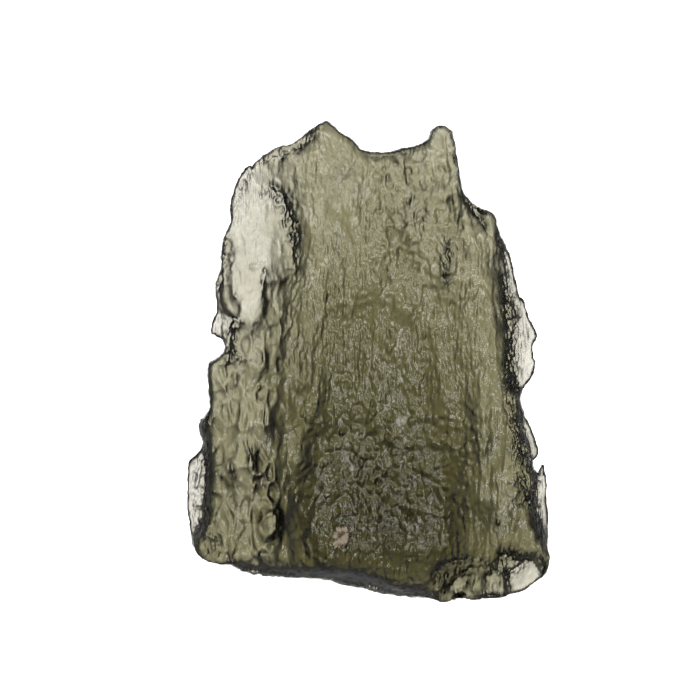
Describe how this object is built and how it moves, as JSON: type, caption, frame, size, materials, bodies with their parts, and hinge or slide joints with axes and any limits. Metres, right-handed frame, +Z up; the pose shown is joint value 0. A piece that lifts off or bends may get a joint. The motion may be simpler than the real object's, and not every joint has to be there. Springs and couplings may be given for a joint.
{
  "type": "moldavite",
  "caption": "Flat plate of rough natural green tektite glass with etched, pitted faces and a chipped edge, lying on its underside.",
  "frame": {"origin": "on the surface that the stone rests on, under the middle of its bounding box", "axes": "+Z up out of the upper face, +Y along the length from the thick near edge to the thin far end with its bite, +X across to the side with the square shoulder"},
  "size_m": [0.033, 0.044, 0.0073],
  "materials": {
    "moldavite_glass": "clear olive green glass, etched and silky",
    "sediment": "dull crumb of tan soil"
  },
  "bodies": {
    "root": {"moldavite": "moldavite_glass"}
  },
  "joints": []
}
